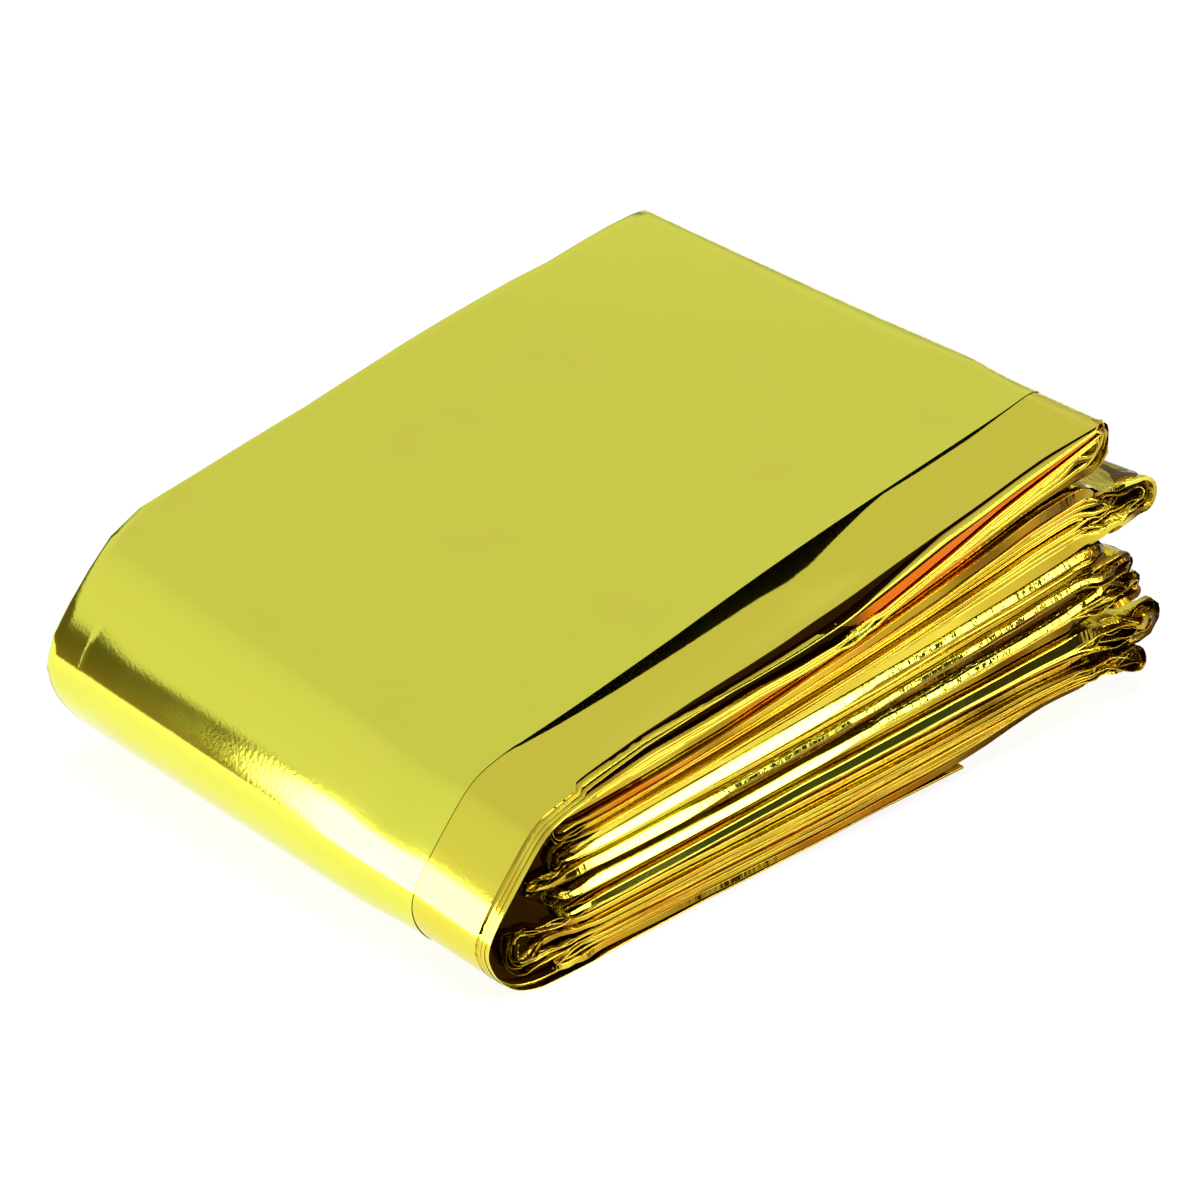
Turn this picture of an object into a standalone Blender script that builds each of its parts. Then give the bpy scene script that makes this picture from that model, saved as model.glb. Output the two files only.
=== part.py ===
"""Emergency foil blanket, folded into its packet.

The blanket is one sheet of film.  It is pleated lengthways into a strip as wide as the packet, and
the strip is laid back and forth.  The strip is one solid here: a ribbon that starts with a loose end
under the packet, wraps the wedge-shaped nose, runs over the top and then zigzags down inside.

Frame: +X runs from the nose to the fanned fold ends, -Y is the near side, where the layers show, and
+Z is up.  Sizes are millimetres until a vertex is made.
"""
from collections import namedtuple
from math import cos, pi, sin, sqrt

import bpy

MM = 0.001

# ---- driving dimensions -------------------------------------------------------------------------
NEAR_Y = -50.0            # side where the layers show
FAR_Y = 50.0              # opposite side
FRONT_X = -40.0           # the three stations where the folds' heights are given
MID_X = 14.0
BACK_X = 65.0
WRAP_THICK = 1.3          # strip where it wraps the packet
FOLD_THICK = 1.0          # least thickness of the strip in the folds inside
FOLD_THICK_MAX = 2.4      # most thickness, where the folds fan out and the film in them is loose
FOLD_FILL = 0.68          # strip's thickness as a share of the folds' spacing
COVER_EDGE_Y = -32.0      # cut edge of the top film, short of the near side
COVER_THICK = 0.9         # the top film as a step on the strip
COVER_FLOOR_RISE = 3.0    # height over which the step grows from the flat underside
COVER_LIFT = 2.3          # how far the cut edge stands up at its highest place
LIFT_FRONT_X = -36.0      # where the lifted stretch of the cut edge begins
LIFT_BACK_X = 63.0        # and ends
LIFT_PEAK = 1.5           # how pointed the lift is along the edge
LIFT_DEPTH = 22.0         # how far in from the edge the film is lifted
LIFT_LEAST_Z = 26.0       # the nose below this height keeps its film flat
LIFT_BLEND = 4.0
SLIT_DEPTH = 15.0         # depth of the slit under the lifted edge
SLIT_FLOOR = 0.15         # slit's floor above the layer below
SLIT_CLOSED = 0.2         # slit's height at its bottom as a share of the lift
SLIT_MARGIN = 4.0         # the slit is this much shorter than the lift at each end
SLIT_OUTSIDE = 1.5        # the cutter reaches this far out of the edge
SLIT_STATIONS = 9
STATIONS = 5              # points along one straight run of the strip
TURN_POINTS = 4           # points round one small fold
TURN_BULGE = 0.9          # a fold's reach as a share of half its height
TURN_REACH_MAX = 4.5
SQUARE_FROM = 2.0         # half height over which a fold's end turns squarer
SQUARE_POWER = 0.7        # 1 is round, less is squarer
RIPPLE = 0.18             # unevenness of the folds inside
RIPPLE_ALONG = 0.09       # its waves along and across the packet, and the step from run to run
RIPPLE_ACROSS = 5.0
RIPPLE_STEPS = (1.7, 0.9)
RAGGED = 1.8              # unevenness of the fold ends between the two sides
RAGGED_ACROSS = 9.0
RAGGED_STEP = 2.3
LOOP_START_X = -44.0      # where the lowest inner folds open into a loop at the nose
LOOP_RUN = 12.0
TAIL_START_X = 66.0       # where some runs drop towards their folds at the back
TAIL_RUN = 12.0
ROWS_Y = (-50.0, -45.0, -38.0, -32.3, -31.9, -22.0, -8.0, 12.0, 32.0, 50.0)

# Outer skin of the strip from its loose end under the packet, round the nose and up to the top, and
# how far its near edge stands back.
Skin = namedtuple("Skin", "near_x near_z far_x far_z set_back")
SKIN = (
    Skin(38.2, 0.0, 38.2, 0.0, -0.4),
    Skin(12.0, 0.0, 12.0, 0.0, -0.6),
    Skin(-16.0, 0.0, -16.0, 0.0, -1.2),
    Skin(-44.0, 0.0, -44.0, 0.0, -2.2),
    Skin(-53.0, 0.0, -53.5, 0.0, -2.3),
    Skin(-57.8, 1.2, -59.0, 3.2, -1.4),
    Skin(-61.2, 4.4, -63.6, 8.2, -0.6),
    Skin(-62.5, 8.4, -66.7, 13.4, 0.0),
    Skin(-61.2, 11.6, -67.6, 19.0, 0.0),
    Skin(-57.5, 16.6, -64.9, 24.4, 0.0),
    Skin(-54.0, 21.4, -59.4, 31.0, 0.0),
    Skin(-51.5, 24.8, -53.6, 36.4, 0.0),
    Skin(-48.6, 26.5, -48.5, 38.5, 0.0),
)

# Each run of the strip from the top one down: its heights at the three stations on the near side,
# the place of the fold at its far end along the strip on each side, how far its near edge stands
# back, how much it rises at the nose and how much it drops at the back.
Run = namedtuple("Run", "front_z mid_z back_z end_x_near end_x_far set_back rise drop")
RUNS = (
    Run(28.1, 40.2, 51.7, 69.9, 60.4, 0.0, 0.0, 0.0),
    Run(24.9, 31.6, 43.8, -47.5, -48.0, 2.6, 0.0, 0.0),
    Run(23.2, 29.8, 41.1, 80.6, 67.0, 1.2, 0.0, 4.4),
    Run(21.6, 26.2, 31.5, -48.5, -53.5, -0.4, 0.0, 0.0),
    Run(20.0, 24.0, 28.8, 68.0, 60.0, -1.2, 0.0, 0.0),
    Run(18.4, 21.6, 26.4, -53.8, -59.5, 0.9, 0.0, 0.0),
    Run(16.7, 18.9, 24.2, 75.6, 66.0, -0.6, 0.0, 0.0),
    Run(15.0, 17.2, 21.9, -50.0, -61.5, 0.8, 0.0, 0.0),
    Run(13.3, 15.5, 19.5, 77.4, 62.0, -0.5, 0.0, 0.0),
    Run(11.4, 13.7, 17.0, -47.0, -61.5, 1.2, 0.0, 0.0),
    Run(9.5, 11.8, 13.4, 81.4, 68.0, -0.9, 0.0, 0.8),
    Run(7.3, 8.8, 10.2, -59.2, -58.5, 0.6, 4.6, 1.6),
    Run(5.3, 6.3, 8.5, 77.0, 61.0, -0.9, -1.0, 1.2),
    Run(3.3, 3.9, 6.8, -50.0, -55.5, -0.6, 0.0, 1.3),
)

# The far side's heights are even: the top run, and the highest and lowest run inside.
FAR_TOP = (39.7, 48.8, 55.2)
FAR_HIGH = (36.0, 44.0, 50.6)
FAR_LOW = (4.2, 4.6, 6.6)

FOIL_COLOUR = (0.80, 0.66, 0.10, 1.0)
FOIL_ROUGHNESS = 0.16


def mix(a, b, share):
    return a + (b - a) * share


def ease(share):
    """0 to 1 with soft ends."""
    share = min(1.0, max(0.0, share))
    return share * share * (3.0 - 2.0 * share)


def through_stations(heights, x):
    """Height at x on the parabola through the three stations, straight on past its ends."""
    front, mid, back = heights
    slope_a = (mid - front) / (MID_X - FRONT_X)
    slope_b = (back - mid) / (BACK_X - MID_X)
    bend = (slope_b - slope_a) / (BACK_X - FRONT_X)
    inside = min(BACK_X, max(FRONT_X, x))
    height = front + slope_a * (inside - FRONT_X) + bend * (inside - FRONT_X) * (inside - MID_X)
    front_slope = slope_a - bend * (MID_X - FRONT_X)
    return height + front_slope * min(0.0, x - FRONT_X)


def far_heights(run):
    """A run's heights on the far side, where the runs are spaced evenly."""
    if run == 0:
        return FAR_TOP
    share = (run - 1) / (len(RUNS) - 2)
    return tuple(mix(high, low, share) for high, low in zip(FAR_HIGH, FAR_LOW))


def run_height(run, x, across):
    """Height of one run at x, for a place from 0 on the near side to 1 on the far side."""
    row = RUNS[run]
    near = through_stations((row.front_z, row.mid_z, row.back_z), x)
    near += row.rise * ease((LOOP_START_X - x) / LOOP_RUN)
    near -= row.drop * ease((x - TAIL_START_X) / TAIL_RUN)
    height = mix(near, through_stations(far_heights(run), x), across)
    if run:
        step_along, step_across = RIPPLE_STEPS
        wave = sin(RIPPLE_ALONG * x + step_along * run)
        height += RIPPLE * wave * cos(RIPPLE_ACROSS * across + step_across * run)
    return height


def run_thickness(run, x, across):
    """Strip's thickness in a run inside: a share of the free height beside it."""
    height = run_height(run, x, across)
    above = run_height(run - 1, x, across) - height
    if run == 1:
        above = 2.0 * (above - WRAP_THICK)
    if run == len(RUNS) - 1:
        below = 2.0 * (height - WRAP_THICK)
    else:
        below = height - run_height(run + 1, x, across)
    return min(FOLD_THICK_MAX, max(FOLD_THICK, FOLD_FILL * min(above, below)))


def end_x(run, across):
    """Where a run's fold lies, a little ragged from row to row."""
    place = mix(RUNS[run].end_x_near, RUNS[run].end_x_far, across)
    if run == 0:
        return place
    between_sides = across * (1.0 - across)
    return place + RAGGED * sin(RAGGED_ACROSS * across + RAGGED_STEP * run) * between_sides


def round_fold(run, across):
    """Points round the fold that joins a run to the next one down."""
    tip = end_x(run, across)
    side = 1.0 if run % 2 == 0 else -1.0
    reach = 1.0
    for _ in range(3):
        upper = run_height(run, tip - side * reach, across)
        lower = run_height(run + 1, tip - side * reach, across)
        reach = min(TURN_REACH_MAX, TURN_BULGE * abs(upper - lower) / 2.0)
    centre_x = tip - side * reach
    centre_z = (upper + lower) / 2.0
    half = (upper - lower) / 2.0
    power = mix(1.0, SQUARE_POWER, ease(half / SQUARE_FROM - 1.0))
    steps = TURN_POINTS + 1
    points = []
    for step in range(steps + 1):
        angle = pi / 2.0 - pi * step / steps
        out = max(0.0, cos(angle)) ** power
        up = abs(sin(angle)) ** power
        up = up if angle > 0.0 else -up
        points.append((centre_x + side * reach * out, centre_z + half * up))
    return points


def strip_path(across):
    """The strip's path in the X-Z plane at one row, as (x, z, outer, inner, set_back) points.

    outer and inner are the strip's thickness to the left and right of its path.
    """
    path = []
    for skin in SKIN:
        x = mix(skin.near_x, skin.far_x, across)
        path.append((x, mix(skin.near_z, skin.far_z, across), 0.0, WRAP_THICK, skin.set_back))
    start = path[-1][0]
    for run, row in enumerate(RUNS):
        last = run == len(RUNS) - 1
        turn = [] if last else round_fold(run, across)
        stop = end_x(run, across) if last else turn[0][0]
        for step in range(1, STATIONS + 1):
            x = mix(start, stop, step / STATIONS)
            half = run_thickness(run, x, across) / 2.0 if run else 0.0
            sides = (half, half) if run else (0.0, WRAP_THICK)
            path.append((x, run_height(run, x, across)) + sides + (row.set_back,))
        if last:
            break
        next_half = run_thickness(run + 1, turn[-1][0], across) / 2.0
        for place, (x, z) in enumerate(turn[1:], start=1):
            share = place / (len(turn) - 1)
            outer = mix(sides[0], next_half, share)
            inner = mix(sides[1], next_half, share)
            path.append((x, z, outer, inner, mix(row.set_back, RUNS[run + 1].set_back, share)))
        start = turn[-1][0]
    return path


def edge_lift(x):
    """How far the top film's cut edge stands up at x."""
    along = min(1.0, max(0.0, (x - LIFT_FRONT_X) / (LIFT_BACK_X - LIFT_FRONT_X)))
    return COVER_LIFT * sin(pi * along) ** LIFT_PEAK


def cover_height(x, z, y):
    """How much the top film stands above the strip: none past its cut edge, more near it."""
    if y < COVER_EDGE_Y:
        return 0.0
    inward = max(0.0, 1.0 - (y - COVER_EDGE_Y) / LIFT_DEPTH)
    on_top = ease((z - LIFT_LEAST_Z) / LIFT_BLEND)
    return (COVER_THICK + edge_lift(x) * inward * on_top) * ease(z / COVER_FLOOR_RISE)


def normals(path):
    """Unit normals to the left of the path."""
    result = []
    for index in range(len(path)):
        ahead = path[min(index + 1, len(path) - 1)]
        behind = path[max(index - 1, 0)]
        dx = ahead[0] - behind[0]
        dz = ahead[1] - behind[1]
        length = sqrt(dx * dx + dz * dz)
        result.append((-dz / length, dx / length))
    return result


def row_points(y):
    """Outer and inner points of the strip at one row across the packet."""
    across = (y - NEAR_Y) / (FAR_Y - NEAR_Y)
    path = strip_path(across)
    cover_stop = len(SKIN) + STATIONS
    outer_points = []
    inner_points = []
    for index, ((x, z, outer, inner, set_back), (nx, nz)) in enumerate(zip(path, normals(path))):
        here = y + (set_back if y == NEAR_Y else 0.0)
        if index < cover_stop:
            outer += cover_height(x, z, y)
        outer_points.append((x + nx * outer, here, z + nz * outer))
        inner_points.append((x - nx * inner, here, z - nz * inner))
    return outer_points, inner_points


def strip_mesh():
    """Vertices and faces of the closed strip."""
    vertices = []
    rings = []
    for y in ROWS_Y:
        outer_points, inner_points = row_points(y)
        ring = outer_points + inner_points[::-1]
        rings.append(range(len(vertices), len(vertices) + len(ring)))
        vertices.extend(ring)
    count = len(rings[0])
    faces = []
    for near, far in zip(rings, rings[1:]):
        for index in range(count):
            after = (index + 1) % count
            faces.append((near[index], near[after], far[after], far[index]))
    for index in range(count // 2 - 1):
        mate = count - 1 - index
        near, far = rings[0], rings[-1]
        faces.append((near[index], near[mate], near[mate - 1], near[index + 1]))
        faces.append((far[index], far[index + 1], far[mate - 1], far[mate]))
    return vertices, faces


def slit_mesh():
    """A thin wedge that opens the slit under the lifted edge."""
    edge = COVER_EDGE_Y - SLIT_OUTSIDE
    deep = COVER_EDGE_Y + SLIT_DEPTH
    vertices = []
    for step in range(SLIT_STATIONS):
        share = step / (SLIT_STATIONS - 1)
        x = mix(LIFT_FRONT_X + SLIT_MARGIN, LIFT_BACK_X - SLIT_MARGIN, share)
        floor_edge = run_height(0, x, (edge - NEAR_Y) / (FAR_Y - NEAR_Y)) + SLIT_FLOOR
        floor_deep = run_height(0, x, (deep - NEAR_Y) / (FAR_Y - NEAR_Y)) + SLIT_FLOOR
        vertices.append((x, edge, floor_edge))
        vertices.append((x, edge, floor_edge + edge_lift(x)))
        vertices.append((x, deep, floor_deep + edge_lift(x) * SLIT_CLOSED))
    faces = [(0, 1, 2)]
    for step in range(SLIT_STATIONS - 1):
        base = 3 * step
        for a, b in ((0, 1), (1, 2), (2, 0)):
            faces.append((base + a, base + 3 + a, base + 3 + b, base + b))
    last = 3 * (SLIT_STATIONS - 1)
    faces.append((last, last + 2, last + 1))
    return vertices, faces


def clear_scene():
    for item in list(bpy.data.objects):
        bpy.data.objects.remove(item, do_unlink=True)


def foil_material():
    material = bpy.data.materials.new("gold_film")
    material.use_nodes = True
    shader = material.node_tree.nodes["Principled BSDF"]
    shader.inputs["Base Color"].default_value = FOIL_COLOUR
    shader.inputs["Metallic"].default_value = 1.0
    shader.inputs["Roughness"].default_value = FOIL_ROUGHNESS
    return material


def add_object(name, vertices, faces, shift):
    """An object from millimetre points, moved by shift."""
    mesh = bpy.data.meshes.new(name)
    points = [tuple((v + s) * MM for v, s in zip(point, shift)) for point in vertices]
    mesh.from_pydata(points, [], faces)
    mesh.validate()
    item = bpy.data.objects.new(name, mesh)
    bpy.context.scene.collection.objects.link(item)
    return item


def main():
    clear_scene()
    vertices, faces = strip_mesh()
    xs = [vertex[0] for vertex in vertices]
    ys = [vertex[1] for vertex in vertices]
    shift = (-(min(xs) + max(xs)) / 2.0, -(min(ys) + max(ys)) / 2.0, 0.0)
    blanket = add_object("blanket", vertices, faces, shift)
    blanket.data.materials.append(foil_material())
    slit = add_object("slit_cutter", *slit_mesh(), shift)
    slit.hide_render = True
    slit.display_type = "WIRE"
    cut = blanket.modifiers.new("slit under the lifted edge", "BOOLEAN")
    cut.operation = "DIFFERENCE"
    cut.object = slit
    print("blanket:", len(vertices), "points, moved by", [round(value, 3) for value in shift])


main()
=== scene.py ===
# %% [markdown]
# # Emergency foil blanket, folded in its packet
#
# A rescue blanket is one sheet of metallised film. It is pleated lengthways into a strip about 100 mm
# wide, and the strip is then laid back and forth until it fits its bag. The CAD solid has the strip's
# true path and thickness. This script lays the film itself along that path, fourteen layers of it, and
# gives it the gold lacquer and the studio that it mirrors.

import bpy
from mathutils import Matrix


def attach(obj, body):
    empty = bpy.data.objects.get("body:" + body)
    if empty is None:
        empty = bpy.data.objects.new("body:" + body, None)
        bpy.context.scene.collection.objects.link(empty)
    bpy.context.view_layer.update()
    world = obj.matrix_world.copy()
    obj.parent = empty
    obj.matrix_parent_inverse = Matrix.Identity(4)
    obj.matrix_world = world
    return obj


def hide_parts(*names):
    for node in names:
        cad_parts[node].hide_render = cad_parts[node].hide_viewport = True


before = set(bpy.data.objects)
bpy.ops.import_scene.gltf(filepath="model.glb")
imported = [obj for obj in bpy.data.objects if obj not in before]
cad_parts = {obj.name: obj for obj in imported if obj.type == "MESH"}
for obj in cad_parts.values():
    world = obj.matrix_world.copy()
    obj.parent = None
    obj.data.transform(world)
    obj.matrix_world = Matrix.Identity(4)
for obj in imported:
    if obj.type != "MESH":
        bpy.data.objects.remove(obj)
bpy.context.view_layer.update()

# %% Tools
import math
from collections import namedtuple

import bpy
import numpy as np
from mathutils import Quaternion, Vector

MM = 0.001

# %% [markdown]
# ## Where the strip runs
#
# The path could be drawn as a curve by hand, but the film has to lie where the CAD's folds lie. So the
# driving tables of the CAD source are repeated here: the outer skin from the loose end under the packet
# round the nose, and then the heights of the fourteen runs. All sizes are millimetres; +X runs from the
# nose to the fanned fold ends, -Y is the near side, where the layers show, and +Z is up.

# %% Driving sizes, as in the CAD source
NEAR_Y = -50.0            # side where the layers show
FAR_Y = 50.0              # opposite side
FRONT_X = -40.0           # the three stations where the folds' heights are given
MID_X = 14.0
BACK_X = 65.0
CAD_SHIFT = (-6.851, 1.15, 0.0)    # from the tables' own origin to the CAD's
WRAP_THICK = 1.3          # strip where it wraps the packet
COVER = (-32.0, 16.0)     # cut edge of the top film, short of the near side
LIFT_FRONT_X = -36.0      # where the lifted stretch of that edge begins
LIFT_BACK_X = 63.0        # and ends
TURN_BULGE = 0.9          # a fold's reach as a share of half its height
TURN_REACH_MAX = 4.5
SQUARE_FROM = 2.0         # half height over which a fold's end turns squarer
SQUARE_POWER = 0.7
LOOP = (-44.0, -12.0)     # where the lowest inner folds open into a loop at the nose
TAIL = (51.0, 26.0)       # where some runs drop towards their folds at the back, gentler than the solid's

Skin = namedtuple("Skin", "near_x near_z far_x far_z set_back")
SKIN = (
    Skin(38.2, 0.0, 38.2, 0.0, -0.4),
    Skin(12.0, 0.0, 12.0, 0.0, -0.6),
    Skin(-16.0, 0.0, -16.0, 0.0, -0.9),
    Skin(-44.0, 0.0, -44.0, 0.0, -1.6),
    Skin(-53.0, 0.0, -53.5, 0.0, -1.7),
    Skin(-57.8, 1.2, -59.0, 3.2, -1.2),
    Skin(-61.2, 4.4, -63.6, 8.2, -0.6),
    Skin(-62.5, 8.4, -66.7, 13.4, 0.0),
    Skin(-61.6, 11.8, -67.6, 19.0, 0.0),
    Skin(-58.2, 16.6, -64.6, 24.2, 0.0),
    Skin(-54.4, 21.2, -58.8, 31.0, 0.0),
    Skin(-51.2, 24.9, -53.2, 36.4, 0.0),
    Skin(-48.0, 26.9, -48.2, 38.5, 0.0),
)

Run = namedtuple("Run", "front_z mid_z back_z end_x_near end_x_far set_back rise drop")
RUNS = (
    Run(29.0, 40.2, 51.7, 69.9, 60.4, 0.0, 0.0, 0.0),
    Run(24.9, 31.6, 43.8, -47.5, -48.0, 2.6, 0.0, 0.0),
    Run(23.2, 29.8, 41.1, 80.6, 67.0, 1.2, 0.0, 5.2),
    Run(21.6, 26.2, 31.5, -48.5, -53.5, -0.4, 0.0, -1.4),
    Run(20.0, 24.0, 28.8, 68.0, 60.0, -1.2, 0.0, 0.0),
    Run(18.4, 21.6, 26.4, -53.8, -59.5, 0.9, 0.0, 0.0),
    Run(16.7, 18.9, 24.2, 75.6, 66.0, -0.6, 0.0, 0.0),
    Run(15.0, 17.2, 21.9, -50.0, -61.5, 0.8, 0.0, 0.0),
    Run(13.3, 15.5, 19.5, 77.4, 62.0, -0.5, 0.0, 0.0),
    Run(11.4, 13.7, 17.0, -47.0, -61.5, 1.2, 0.0, 0.0),
    Run(9.5, 11.8, 13.4, 81.4, 68.0, -0.9, 0.0, 0.8),
    Run(7.3, 8.8, 10.2, -59.2, -58.5, 0.6, 4.6, 1.6),
    Run(5.3, 6.3, 8.5, 77.0, 61.0, -0.9, -1.0, 1.2),
    Run(3.3, 3.9, 6.8, -50.0, -55.5, -0.6, 0.0, 1.3),
)
FAR_TOP = (39.7, 48.8, 55.2)
FAR_HIGH = (36.0, 44.0, 50.6)
FAR_LOW = (4.2, 4.6, 6.6)
print("Runs of the strip:", len(RUNS))

# %% [markdown]
# ## How the film lies in the strip
#
# The sheet is fourteen strips wide. A maker folds it in halves and pleats, so its folds nest: on the
# near side one broad fold holds another, with four thin folds beside it. The order below follows the
# sheet from one cut edge to the other and says which place in the stack each strip takes, from 1, the
# top film, to 14, the innermost. Neighbours in the order share a fold, in turn on the far and on the
# near side.

# %% The order of the pleats
PLACES = 14
ORDER = (1, 4, 5, 14, 13, 12, 11, 10, 9, 8, 7, 6, 3, 2)
FAR_FOLDS = [ORDER[place:place + 2] for place in range(0, PLACES - 1, 2)]
NEAR_FOLDS = [ORDER[place:place + 2] for place in range(1, PLACES - 1, 2)]
BROAD = (3, 6)            # places that the broad near fold joins
THIN = (7, 14)            # places of the thin near folds
THIN_FOLDS = 4
print("Near folds:", NEAR_FOLDS, "far folds:", FAR_FOLDS)

# %% [markdown]
# ## What shows on the near side
#
# In each run inside, one broad fold and four thin ones show, and no two runs lie alike: one is creased, one
# leans back and mirrors the ceiling, one is in shade. They could be modelled one by one; a row of numbers
# for each lets one loop lay them all. The numbers are the places of the broad fold and of the thin ones in
# the run's thickness, from its outer skin, 0, to its inner skin, 1; how far they stand back in mm; how far
# their tops lean back in degrees; how much shade is painted into their gold, redder and darker in place of
# light mirrored between films; and how strongly the broad fold is creased, from which x on. The first row
# is for the turn from the top run into the packet.

# %% How each run inside shows
Edge = namedtuple("Edge", "broad_out broad_in broad_back broad_lean broad_warm "
                          "thin_out thin_in thin_back thin_lean thin_warm crease crease_x")
EDGES = (
    Edge(0.04, 0.40, 0.2, 15.0, 0.12, 0.44, 1.00, 0.4, 20.0, 0.40, 0.2, 60.0),
    Edge(0.04, 0.40, 0.5, 14.0, 0.62, 0.42, 1.00, 0.1, 22.0, 0.40, 0.3, 20.0),
    Edge(0.02, 0.45, 0.4, 18.0, 0.62, 0.48, 1.00, 0.1, 12.0, 0.50, 0.3, 30.0),
    Edge(0.02, 0.50, 0.4, 16.0, 0.38, 0.54, 1.00, 0.2, 16.0, 0.45, 0.1, 30.0),
    Edge(0.03, 0.86, 0.1, 36.0, 0.00, 0.90, 1.00, 0.5, 16.0, 0.70, 0.85, 4.0),
    Edge(0.03, 0.34, 0.0, 14.0, 0.40, 0.38, 1.00, 0.3, 28.0, 0.35, 0.3, -20.0),
    Edge(0.03, 0.88, 0.0, 35.5, 0.10, 0.92, 1.00, 0.5, 12.0, 0.80, 1.0, -25.0),
    Edge(0.03, 0.55, 0.9, 22.0, 0.80, 0.60, 1.00, 1.0, 20.0, 0.85, 0.3, -20.0),
    Edge(0.02, 0.80, 0.0, 38.0, 0.00, 0.84, 1.00, 0.2, 14.0, 0.40, 0.8, 5.0),
    Edge(0.03, 0.55, 0.4, 18.0, 0.60, 0.60, 1.00, 0.2, 14.0, 0.40, 0.1, 20.0),
    Edge(0.02, 0.66, 0.0, 28.0, 0.00, 0.70, 0.94, 0.2, 38.0, 0.15, 0.1, 25.0),
    Edge(0.03, 0.44, 0.2, 12.0, 0.45, 0.50, 1.00, 0.6, 18.0, 0.78, 0.3, -30.0),
    Edge(0.03, 0.40, -0.3, 14.0, 0.50, 0.44, 1.00, -0.5, 12.0, 0.55, 0.3, -30.0),
    Edge(0.03, 0.40, -1.1, 20.0, 0.72, 0.44, 1.00, -1.0, 14.0, 0.60, 0.2, -30.0),
)
print("Most creased run:", max(range(len(EDGES)), key=lambda run: EDGES[run].crease))

# %% [markdown]
# ## How the top run hangs
#
# Under the top film the layers hang apart, and their gaps widen and close on the way to the back. So this
# table goes along x: how far each group stands back from the side, and the depth of its upper and lower
# film below the skin, in mm. The web is the first of the thin folds; it spans the gap at the back. The
# first row is for the whole wrap round the nose as well.

# %% How the top run hangs on the near side
Hang = namedtuple("Hang", "x second_back broad_back broad_out broad_in web_back web_out web_in "
                          "thin_back thin_out thin_in")
HANGS = (
    Hang(-48.0, 2.6, 1.7, 0.02, 0.05, 0.9, 0.07, 0.11, 0.0, 0.15, 0.50),
    Hang(-40.0, 3.9, 2.7, 0.08, 0.16, 1.8, 0.22, 0.30, 0.4, 0.42, 1.40),
    Hang(-28.0, 4.1, 2.9, 0.30, 0.42, 2.3, 0.50, 0.60, 0.8, 1.10, 2.60),
    Hang(-17.0, 3.7, 2.4, 0.90, 1.05, 2.2, 1.10, 1.25, 0.4, 2.10, 3.40),
    Hang(-6.6, 2.9, 1.9, 1.90, 2.05, 2.2, 2.10, 2.20, 0.5, 3.00, 4.60),
    Hang(2.0, 2.4, 1.4, 2.30, 2.45, 1.8, 2.50, 2.65, 0.4, 4.20, 5.80),
    Hang(11.0, 2.1, 0.9, 2.40, 2.60, 1.5, 2.65, 2.95, 0.5, 5.20, 6.80),
    Hang(13.5, 2.1, 0.7, 2.25, 2.45, 1.2, 2.50, 4.90, 0.4, 5.10, 6.70),
    Hang(19.0, 2.1, 0.5, 1.50, 1.70, 0.9, 1.75, 4.70, 0.3, 4.90, 6.50),
    Hang(34.0, 1.9, 0.3, 0.15, 0.70, 0.8, 0.80, 3.40, 0.0, 3.60, 5.00),
    Hang(45.0, 1.7, 0.3, 0.15, 0.80, 0.7, 0.90, 2.40, 0.0, 2.60, 4.00),
    Hang(57.0, 1.5, 0.3, 0.15, 0.80, 0.5, 0.90, 1.70, 0.0, 1.90, 2.90),
    Hang(67.0, 0.3, 0.2, 0.15, 0.60, 0.4, 0.70, 1.20, 0.0, 1.40, 2.30),
)
print("The folds hang down by up to", max(row.thin_in for row in HANGS), "mm")

# %% [markdown]
# ## Small helpers
#
# Film is never quite even. Blender's own noise could do for that, but here one noise moves points, leans
# folds and tints them, so it is written out: value noise on a lattice, with random numbers of a fixed seed
# at whole steps, joined smoothly for waves or straight for creases. Where something sets in softly, a pair
# of numbers says from where on and over what length.

# %% Helpers: mixing, easing and noise
LATTICE_SEED = 5
LATTICE = np.random.default_rng(LATTICE_SEED).uniform(-1.0, 1.0, (512, 64))
SEED_ALONG = 17.31        # lattice steps from one seed to the next
SEED_ASIDE = 5.77


def mix(a, b, share):
    return a + (b - a) * share


def ease(share):
    """0 to 1 with soft ends."""
    share = np.clip(share, 0.0, 1.0)
    return share * share * (3.0 - 2.0 * share)


def ramp(x, start, run):
    """0 up to the start, then softly up to 1 over a length of run; a negative run goes the other way."""
    return ease((x - start) / run)


def around(x, middle, reach):
    """1 at the middle, softly down to 0 at reach on both sides of it."""
    return ease(1.0 - np.abs(x - middle) / reach)


def noise(x, y, seed, sharp=False):
    """Value noise from -1 to 1 at x, y, in lattice steps. Sharp noise has straight flanks."""
    x = np.asarray(x, float) + SEED_ALONG * seed
    y = np.asarray(y, float) + SEED_ASIDE * seed
    x, y = np.broadcast_arrays(x, y)
    column = np.floor(x).astype(int)
    row = np.floor(y).astype(int)
    along = x - column
    across = y - row
    if not sharp:
        along = ease(along)
        across = ease(across)
    wide, high = LATTICE.shape
    low, up = (mix(LATTICE[column % wide, at % high], LATTICE[(column + 1) % wide, at % high], along)
               for at in (row, row + 1))
    return mix(low, up, across)


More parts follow.
